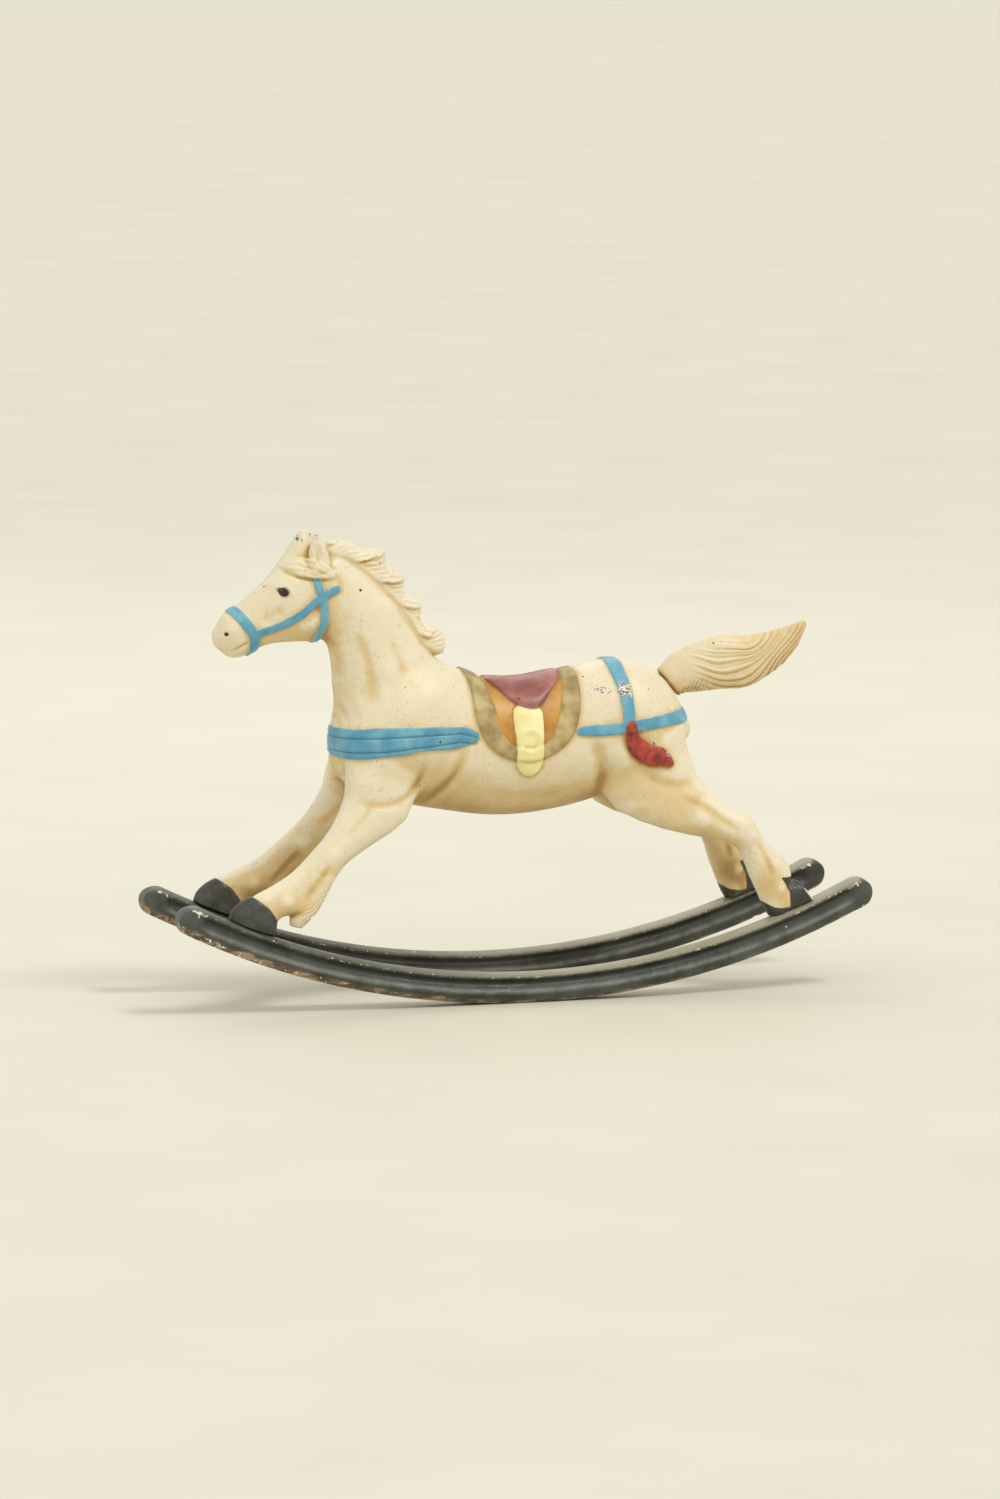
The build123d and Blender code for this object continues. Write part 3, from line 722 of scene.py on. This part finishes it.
# ---- tail and rockers ----
def tail_strands(x, z):
    """Height of the combed hair of the tail, and how far a point is along it."""
    spine = [((lo[0] + hi[0]) / 2, (lo[1] + hi[1]) / 2) for lo, hi, _, _ in TAIL]
    off, along = line_distance(x, z, round_line(spine))
    guide = np.interp(x, [p[0] for p in spine], [p[1] for p in spine])
    across = np.where(z > guide, off, -off)
    # strands leave the dock upwards, arch over, then fan down to the lower edge and sweep up to the tip
    arch = 7.5 * np.sin((along - 16) * 0.06) * (1 - 0.4 * np.clip(across / 14, -1, 1))
    drift = 1.1 * np.sin(along * 0.09 + across * 0.22) + 0.5 * np.sin(along * 0.21 + 1.7)
    sweep = (across + arch + drift) * (1 + 0.006 * along)
    wide = np.sin(sweep * 2 * math.pi / 4.3)
    thin = np.sin(sweep * 2 * math.pi / 2.35 + 0.9 * np.sin(along * 0.06))
    hair = 0.55 * np.sign(wide) * np.abs(wide) ** 0.8 + 0.45 * thin
    top = smooth_step(across, 7.5, 12) * (1 - smooth_step(along, 55, 75))
    tuft = np.sin((across * 0.9 - along * 1.1) * 2 * math.pi / 3.6) * smooth_step(-across, 5, 9)
    tuft = tuft * (1 - smooth_step(along, 16, 30))
    return hair * smooth_step(along, 10, 30) * (1 - 0.75 * top) + 0.9 * tuft, along


def past_joint(x, z):
    """How far a point is behind the joint between the rump and the tail."""
    return (x - 98.5) * 0.76 + (z - 187.5) * 0.65


def build_tail():
    """The skin of the tail, and of the lug that goes into the rump."""
    field = Field((88, -14, 160), (196, 14, 224), TAIL_STEP)
    field.add_limb(TAIL, 0.5, steps=3)
    x, y, z = field.grid()
    hair, _ = tail_strands(x[:, 0, :], z[0, :, :])
    # the strands run out towards the edges of the tail
    field.d -= ((0.75 * hair)[:, None, :] * smooth_step(np.abs(y), 0.3, 3.0)).astype(np.float32)
    field.d = np.maximum(field.d, (-(past_joint(x, z) + 1.0)).astype(np.float32))
    low, high = mm_box("tail_cross_pin")
    lug_end = ((low[0] + high[0]) / 2 - 4.5, (low[2] + high[2]) / 2 - 3.6)
    lug_start = (104.0, 185.0)
    dx, dz = lug_end[0] - lug_start[0], lug_end[1] - lug_start[1]
    t = np.clip(((x - lug_start[0]) * dx + (z - lug_start[1]) * dz) / (dx * dx + dz * dz), 0, 1)
    lug = np.sqrt((x - lug_start[0] - t * dx) ** 2 + y ** 2 + (z - lug_start[1] - t * dz) ** 2) - 4.6
    field.d = np.minimum(field.d, lug.astype(np.float32))
    points, quads = field.mesh()
    px, py, pz = points.T
    hair, along = tail_strands(px, pz)
    joint = np.exp(-np.clip(past_joint(px, pz), 0, 99) / 1.4)
    low_side = np.clip(-normals(field, points)[2], 0, 1)
    layers = {name: np.full(len(px), NOWHERE) for name in BODY_LAYERS}
    # darker in the hair grooves (partly glaze, partly painted shade) and on the down-facing side (painted
    # shade); also darker at the joint with the rump and further along the tail
    grooves = np.clip(-hair - 0.3, 0, 1) * smooth_step(np.abs(py), 0.3, 3.0)
    layers["wash_and_shade"] = 0.35 + 1.7 * grooves + 1.1 * joint + 0.6 * low_side + 0.3 * smooth_step(along, 50, 80)
    layers["ridge"] = 0.8 * smooth_step(px, 174, 188) + 0.2 * np.clip(hair, 0, 1)
    return build_mesh("tail_skin", points, quads, layers)


def build_rocker(side, node):
    """The skin of one rocker, with the counterbores of its two hoof screws."""
    y0 = side * abs(ROCKER_Y)
    low, high = (-ROCKER_HALF - 3, -ROCKER_W / 2 - 3, -3), (ROCKER_HALF + 3, ROCKER_W / 2 + 3, 74)
    field = Field(low, high, ROCKER_STEP)
    x, y, z = field.grid()
    rise = ROCKER_R - np.hypot(x, z - ROCKER_R)       # 0 on the rolling edge, ROCKER_H on top
    angle = np.arctan2(x, ROCKER_R - z)
    mid_r, end_r = ROCKER_R - ROCKER_H / 2, ROCKER_H / 2
    end_angle = math.asin((ROCKER_HALF - end_r) / mid_r)
    past = np.maximum(np.abs(angle) - end_angle, 0) * mid_r
    inset = np.maximum(end_angle - np.abs(angle), 0) * mid_r
    soft = 1.1 + 2.0 * smooth_step(-rise, -8, -1)     # the rolling edge is rubbed rounder
    crown = ROCKER_CROWN * (2 * y / ROCKER_W) ** 2 * smooth_step(rise, 0.3 * ROCKER_H, 0.8 * ROCKER_H)
    face = np.hypot(np.abs(rise + crown - end_r), past) - end_r + soft
    rounded = np.sqrt(np.clip(1 - (past / (1.5 * end_r)) ** 2, 0.03, 1))    # the ends are rounded in plan too
    side_face = np.abs(y) - (ROCKER_W / 2 * rounded - soft)
    # a flute in the upper half and a bead in the lower half of both side faces
    fade = smooth_step(inset, 2, 8)
    flute, bead = bell((rise - FLUTE_RISE) / 2.6), bell((rise - BEAD_RISE) / 1.9)
    side_face = side_face + fade * (2.9 * flute - bead + 1.0)
    outside = np.sqrt(np.maximum(face, 0) ** 2 + np.maximum(side_face, 0) ** 2)
    field.d = (np.minimum(np.maximum(face, side_face), 0) + outside - soft).astype(np.float32)
    screw_y = side * (mm_box("hoof_screws")[1][1] - FOOT_HEAD_R) - y0
    for foot_x in FOOT_X:
        tilt = math.asin(foot_x / ROCKER_R)
        foot_z = ROCKER_R - ROCKER_R * math.cos(tilt)
        ux, uz = -math.sin(tilt), math.cos(tilt)
        axial = (x - foot_x) * ux + (z - foot_z) * uz
        off = np.sqrt((x - foot_x - axial * ux) ** 2 + (y - screw_y) ** 2 + (z - foot_z - axial * uz) ** 2)
        bore = np.maximum(off - FOOT_BORE_R, axial - FOOT_BORE_DEPTH)
        field.d = np.maximum(field.d, -bore).astype(np.float32)
    points, quads = field.mesh()
    px, py, pz = points.T
    rise, turn = ROCKER_R - np.hypot(px, pz - ROCKER_R), np.arctan2(px, ROCKER_R - pz)
    inset = np.maximum(end_angle - np.abs(turn), -end_r) * mid_r
    top_edge = np.hypot(rise - ROCKER_H + ROCKER_CROWN, np.abs(py) - ROCKER_W / 2)
    bottom_edge = np.hypot(rise, np.abs(py) - ROCKER_W / 2)
    from_outside = np.clip(ROCKER_W / 2 - 1 - py * side, 0, 9)
    end_edge = np.abs(inset) + 0.8 + 0.5 * np.clip(12.0 - rise, 0, 9) + 2 * from_outside
    layers = {
        "rise": rise, "turn": turn,
        "edge": np.minimum(np.minimum(top_edge, bottom_edge), end_edge),
        # where the paint shader puts painted shade in the flute and a painted highlight on the bead
        "flute": bell((rise - FLUTE_RISE) / 2.2) * smooth_step(inset, 3, 12),
        "bead": bell((rise - BEAD_RISE - 0.6) / 1.2) * smooth_step(inset, 3, 12),
    }
    return build_mesh(node + "_skin", points + np.array([0, y0, 0]), quads, layers)


# ---- materials ----
def srgb(r, g, b):
    """Linear colour of an 8-bit sRGB value."""
    def lin(c):
        c /= 255
        return c / 12.92 if c <= 0.04045 else ((c + 0.055) / 1.055) ** 2.4
    return (lin(r), lin(g), lin(b), 1)


class Shader:
    """Small helper that chains shader nodes."""

    def __init__(self, name):
        self.material = bpy.data.materials.new(name)
        self.material.use_nodes = True
        self.tree = self.material.node_tree
        self.bsdf = self.tree.nodes["Principled BSDF"]
        self.coords = self.node("TexCoord").outputs["Object"]

    def node(self, kind, **settings):
        n = self.tree.nodes.new("ShaderNode" + kind)
        for key, value in settings.items():
            setattr(n, key, value)
        return n

    def put(self, value, socket):
        if hasattr(value, "is_output"):
            self.tree.links.new(value, socket)
        else:
            socket.default_value = value

    def attribute(self, name):
        return self.node("Attribute", attribute_name=name).outputs["Fac"]

    def math(self, operation, a, b=0.0):
        n = self.node("Math", operation=operation)
        self.put(a, n.inputs[0])
        self.put(b, n.inputs[1])
        return n.outputs[0]

    def add(self, a, b):
        return self.math("ADD", a, b)

    def sub(self, a, b):
        return self.math("SUBTRACT", a, b)

    def mul(self, a, b):
        return self.math("MULTIPLY", a, b)

    def noise(self, scale, detail=4.0, rough=0.55, vector=None):
        n = self.node("TexNoise")
        self.put(vector if vector is not None else self.coords, n.inputs["Vector"])
        for key, v in (("Scale", scale), ("Detail", detail), ("Roughness", rough)):
            n.inputs[key].default_value = v
        return n.outputs["Fac"]

    def ramp(self, value, low, high, to_low=0.0, to_high=1.0):
        n = self.node("MapRange", interpolation_type="SMOOTHSTEP")
        self.put(value, n.inputs["Value"])
        for key, v in (("From Min", low), ("From Max", high), ("To Min", to_low), ("To Max", to_high)):
            n.inputs[key].default_value = v
        return n.outputs["Result"]

    def mix(self, factor, a, b):
        n = self.node("Mix", data_type="RGBA")
        self.put(factor, n.inputs[0])
        self.put(a, n.inputs[6])
        self.put(b, n.inputs[7])
        return n.outputs[2]

    def blend(self, factor, a, b):
        n = self.node("Mix", data_type="FLOAT")
        self.put(factor, n.inputs[0])
        self.put(a, n.inputs[2])
        self.put(b, n.inputs[3])
        return n.outputs[0]

    def specks(self, scale, size, share):
        """Scattered round dots: 1 in a dot. share is the part of cells that hold one."""
        n = self.node("TexVoronoi")
        self.put(self.coords, n.inputs["Vector"])
        n.inputs["Scale"].default_value = scale
        pick = self.node("SeparateColor")
        self.put(n.outputs["Color"], pick.inputs[0])
        chosen = self.math("LESS_THAN", pick.outputs[0], share)
        dot_size = self.mul(pick.outputs[1], size)
        return self.mul(self.math("LESS_THAN", n.outputs["Distance"], dot_size), chosen)

    def surface(self, colour, roughness):
        self.put(colour, self.bsdf.inputs["Base Color"])
        self.put(roughness, self.bsdf.inputs["Roughness"])

    def bump(self, height, strength, distance):
        n = self.node("Bump")
        self.put(height, n.inputs["Height"])
        n.inputs["Strength"].default_value = strength
        n.inputs["Distance"].default_value = distance
        self.put(n.outputs["Normal"], self.bsdf.inputs["Normal"])


def painted_casting():
    """Old enamel on the horse: cream under six colours and black, with chips, tan patches, painted shade and
    pinholes.
    """
    s = Shader("painted_casting")
    wobble = s.mul(s.sub(s.noise(260, 3), 0.5), 1.1)
    coarse, fine = s.noise(28, 5, 0.6), s.noise(150, 5, 0.65)

    def mask(name, grow=0.0):
        d = s.add(s.attribute(name), wobble)
        return s.ramp(d, grow - 0.14, grow + 0.14, 1.0, 0.0)

    # cream body colour, tan in hollows and creases (partly antique glaze, partly painted shade) and on
    # down-facing sides (painted shade)
    wash_and_shade = s.add(s.attribute("wash_and_shade"), s.mul(s.sub(coarse, 0.5), 1.5))
    wash_and_shade = s.add(wash_and_shade, s.mul(s.sub(fine, 0.5), 0.7))
    cream = s.mix(s.ramp(coarse, 0.35, 0.7), srgb(229, 216, 186), srgb(236, 226, 200))
    cream = s.mix(s.ramp(wash_and_shade, 0.0, 0.9), cream, srgb(219, 194, 142))
    colour = s.mix(s.ramp(wash_and_shade, 0.8, 2.0), cream, srgb(178, 140, 82))
    # fine brown mottling, in patches
    patches = s.ramp(s.noise(48, 4), 0.40, 0.62, 0.12, 0.5)
    mottle = s.mul(s.ramp(s.noise(520, 4, 0.7), 0.54, 0.70), patches)
    colour = s.mix(mottle, colour, srgb(176, 140, 88))
    rough = s.blend(s.ramp(wash_and_shade, 0.1, 1.0), 0.40, 0.55)

    def coat_of(name, light, dark, patch_scale, roughness, colour, rough, rim=0.5):
        # old varnish gathers along the rim of each painted area
        d = s.attribute(name)
        halo = s.ramp(s.math("ABSOLUTE", d), 0.0, 0.9, rim, 0.0)
        colour = s.mix(halo, colour, srgb(150, 112, 62))
        tone = s.mix(s.ramp(s.noise(patch_scale, 4), 0.35, 0.68), dark, light)
        # painted shade, partly glaze: each coat turns dark brown in hollows and on down-facing sides
        tone = s.mix(s.ramp(s.attribute("wash_and_shade"), 0.35, 1.5, 0.0, 0.45), tone, srgb(92, 74, 48))
        m = mask(name)
        return s.mix(m, colour, tone), s.blend(m, rough, roughness)

    colour, rough = coat_of("gold", srgb(200, 179, 124), srgb(154, 131, 82), 85, 0.42, colour, rough)
    colour, rough = coat_of("amber", srgb(206, 154, 72), srgb(182, 122, 46), 55, 0.38, colour, rough, 0.35)
    colour, rough = coat_of("blue", srgb(118, 180, 200), srgb(84, 150, 182), 75, 0.40, colour, rough, 0.4)
    # painted shade: the two grooves along the breast strap are painted darker blue
    groove = s.mul(s.ramp(s.attribute("groove"), 0.25, 0.9, 0.55, 0.0), mask("blue", -0.6))
    colour = s.mix(groove, colour, srgb(52, 96, 112))
    colour, rough = coat_of("straw", srgb(245, 236, 176), srgb(234, 220, 150), 60, 0.40, colour, rough, 0.35)
    colour, rough = coat_of("maroon", srgb(176, 114, 102), srgb(138, 76, 72), 60, 0.33, colour, rough, 0.75)
    colour, rough = coat_of("red", srgb(190, 72, 52), srgb(120, 44, 34), 130, 0.22, colour, rough, 0.6)
    colour, rough = coat_of("black", srgb(76, 78, 70), srgb(50, 51, 45), 90, 0.36, colour, rough, 0.3)

    # chips down to the dark primer, and pinholes
    worn = s.add(s.mul(s.attribute("ridge"), 0.20), s.noise(420, 4, 0.7))
    chips = s.ramp(worn, 0.79, 0.83)
    spot = s.ramp(s.attribute("chip_spot"), 2.0, 7.5, 1.0, 0.0)
    flakes = s.ramp(s.add(s.noise(560, 3, 0.7), s.mul(spot, 0.32)), 0.70, 0.74)
    flakes = s.mul(flakes, s.math("GREATER_THAN", spot, 0.02))
    colour = s.mix(flakes, colour, srgb(104, 88, 72))
    white = s.mul(flakes, s.ramp(s.noise(800, 2), 0.48, 0.54))
    colour = s.mix(white, colour, srgb(232, 228, 214))
    # a bright chipped line along the edge of the hind hoof soles
    broken = s.ramp(s.noise(330, 3), 0.36, 0.46)
    scuff = s.mul(s.ramp(s.attribute("sole"), 0.6, 1.5, 1.0, 0.0), broken)
    colour = s.mix(scuff, colour, srgb(226, 214, 190))
    colour = s.mix(chips, colour, srgb(104, 82, 60))
    pins = s.math("MAXIMUM", s.specks(210, 0.16, 0.085), s.specks(95, 0.12, 0.05))
    colour = s.mix(pins, colour, srgb(96, 66, 44))
    # eye and nostril
    eye_d = s.attribute("eye")
    eye = s.ramp(eye_d, -0.2, 0.2, 1.0, 0.0)
    colour = s.mix(s.ramp(eye_d, 0.2, 1.3, 0.7, 0.0), colour, srgb(178, 146, 92))
    colour = s.mix(eye, colour, s.mix(s.ramp(s.noise(700, 2), 0.5, 0.62), srgb(26, 24, 20), srgb(70, 74, 52)))
    colour = s.mix(s.ramp(s.attribute("nostril"), -0.2, 0.25, 1.0, 0.0), colour, srgb(60, 42, 30))
    rough = s.blend(eye, rough, 0.18)
    rough = s.blend(chips, rough, 0.7)
    s.surface(colour, rough)
    s.bsdf.inputs["Specular IOR Level"].default_value = 0.45
    grain = s.mul(s.noise(330, 5, 0.6), 0.6)
    height = s.add(grain, s.mul(s.noise(90, 3), 0.8))
    height = s.sub(height, s.mul(s.math("MAXIMUM", chips, pins), 0.8))
    s.bump(height, 0.5, 0.00035)
    return s.material


def rocker_paint():
    """Black paint, dusty and with a painted sheen on top, painted shade in the flute and a painted highlight
    on the bead, rubbed metal on the rolling edge and cream flecks.
    """
    s = Shader("rocker_paint")
    rise, edge = s.attribute("rise"), s.attribute("edge")
    tone = s.mix(s.ramp(s.noise(45, 5, 0.6), 0.35, 0.7), srgb(46, 48, 43), srgb(80, 84, 78))
    # painted shade: the flute is painted darker; painted highlight: the bead below it is painted lighter, in
    # patches
    tone = s.mix(s.mul(s.attribute("flute"), 0.6), tone, srgb(30, 30, 25))
    bead_highlight = s.mul(s.attribute("bead"), s.ramp(s.noise(90, 5, 0.6), 0.34, 0.6, 0.25, 0.75))
    tone = s.mix(bead_highlight, tone, srgb(124, 128, 118))
    # dust and a painted sheen: the top face is painted lighter, more so towards the tail end
    dust_and_sheen = s.ramp(s.add(rise, s.mul(s.noise(120, 4), 2.4)), 15.6, 18.0)
    dust_and_sheen_share = s.ramp(s.attribute("turn"), -0.28, 0.12, 0.15, 0.85)
    colour = s.mix(s.mul(dust_and_sheen, dust_and_sheen_share), tone, srgb(164, 158, 136))
    # brown rubbed metal on the rolling edge, more towards the head end
    streak = s.node("Mapping")
    s.put(s.coords, streak.inputs["Vector"])
    streak.inputs["Scale"].default_value = (0.25, 1.0, 1.0)
    rub_noise = s.noise(240, 5, 0.65, streak.outputs[0])
    head_end = s.ramp(s.attribute("turn"), -0.42, 0.25, 1.0, 0.0)
    rub = s.add(s.mul(head_end, 1.5), s.mul(rub_noise, 3.2))
    rub = s.ramp(s.sub(rub, s.mul(rise, 0.52)), 0.7, 1.7)
    brown = s.mix(s.ramp(rub_noise, 0.4, 0.62), srgb(92, 74, 52), srgb(178, 150, 110))
    colour = s.mix(s.mul(rub, 0.85), colour, brown)
    # cream flecks along the edges and scattered over the faces
    low_face = s.mul(s.ramp(rise, 1.0, 9.0, 0.17, 0.0), head_end)
    likely = s.math("MAXIMUM", s.ramp(edge, 0.6, 3.0, 0.25, 0.0), low_face)
    flecks = s.ramp(s.add(s.noise(420, 4, 0.7), likely), 0.74, 0.78)
    flecks = s.math("MAXIMUM", flecks, s.specks(150, 0.15, 0.14))
    colour = s.mix(flecks, colour, srgb(228, 220, 198))
    rough = s.blend(s.ramp(s.noise(70, 4), 0.3, 0.7), 0.34, 0.48)
    s.surface(colour, s.blend(rub, rough, 0.6))
    s.bsdf.inputs["Specular IOR Level"].default_value = 0.5
    height = s.add(s.noise(300, 5, 0.6), s.mul(s.noise(60, 3), 1.2))
    height = s.sub(height, s.mul(flecks, 0.7))
    s.bump(height, 0.6, 0.0004)
    return s.material


def old_steel():
    s = Shader("screw_steel")
    grime = s.noise(500, 4, 0.6)
    colour = s.mix(s.ramp(grime, 0.4, 0.65), srgb(150, 146, 138), srgb(96, 70, 48))
    s.surface(colour, s.ramp(grime, 0.3, 0.7, 0.35, 0.65))
    s.bsdf.inputs["Metallic"].default_value = 0.85
    s.bump(grime, 0.4, 0.0002)
    return s.material


# ---- assemble ----
casting, black, steel = painted_casting(), rocker_paint(), old_steel()
for obj, node in build_horse() + [(build_tail(), "tail")]:
    obj.data.materials.append(casting)
    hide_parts(node)
    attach(obj, "root")
for side, node in ((-1, "left_rocker"), (1, "right_rocker")):
    obj = build_rocker(side, node)
    obj.data.materials.append(black)
    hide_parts(node)
    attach(obj, "root")
for node in BODY_SCREWS + ("tail_cross_pin", "hoof_screws", "hoof_screw_washers"):
    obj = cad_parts[node]
    obj.data.materials.clear()
    obj.data.materials.append(steel)


# ---- floor, light and camera ----
def flat_material(name, colour, roughness):
    s = Shader(name)
    tone = s.mix(s.ramp(s.noise(6, 4), 0.3, 0.7), colour, tuple(0.96 * c for c in colour[:3]) + (1,))
    s.surface(tone, roughness)
    return s.material


bpy.ops.mesh.primitive_plane_add(size=90, location=(0, 0, 0))    # it fills the picture to the top
floor = bpy.context.object
floor.name = "floor"
floor.data.materials.append(flat_material("floor_paper", srgb(222, 218, 204), 0.8))

world = bpy.data.worlds.new("studio")
world.use_nodes = True
world.node_tree.nodes["Background"].inputs["Color"].default_value = srgb(240, 239, 230)
world.node_tree.nodes["Background"].inputs["Strength"].default_value = 0.97
bpy.context.scene.world = world
bpy.context.scene.view_settings.view_transform = "Standard"


def place(name, data, location, direction):
    """Adds a lamp or camera that looks in a direction."""
    obj = bpy.data.objects.new(name, data)
    bpy.context.scene.collection.objects.link(obj)
    obj.location = location
    obj.rotation_euler = direction.to_track_quat("-Z", "Y").to_euler()
    return obj


def area_light(name, position, size, power, colour):
    data = bpy.data.lights.new(name, "AREA")
    data.size, data.energy, data.color = size, power, colour
    place(name, data, position, CENTRE - Vector(position))


CENTRE = Vector((0.0, 0.0, 0.14))
sun = bpy.data.lights.new("key", "SUN")
sun.energy, sun.angle, sun.color = 0.98, math.radians(15), (1.0, 0.98, 0.95)
place("key", sun, (0, 0, 0), Vector((-0.8, 1.0, -1.96)))
area_light("fill", (-1.9, -1.6, 1.0), 1.4, 2.5, (1.0, 0.99, 0.96))
area_light("rim", (0.2, 1.8, 1.7), 1.2, 6, (1.0, 0.98, 0.94))

# The camera stands 17 degrees round towards the head and 7 degrees up, far back with a long lens.
YAW, PITCH, DISTANCE, LENS = math.radians(17.2), math.radians(7.1), 4.5, 270.3
TARGET = Vector((-0.0043, 0.0, 0.1462))
back = Vector((-math.sin(YAW) * math.cos(PITCH), -math.cos(YAW) * math.cos(PITCH), math.sin(PITCH)))
camera_data = bpy.data.cameras.new("camera")
camera_data.sensor_fit, camera_data.sensor_width = "HORIZONTAL", 36.0
camera_data.lens = LENS
bpy.context.scene.camera = place("camera", camera_data, TARGET + DISTANCE * back, -back)
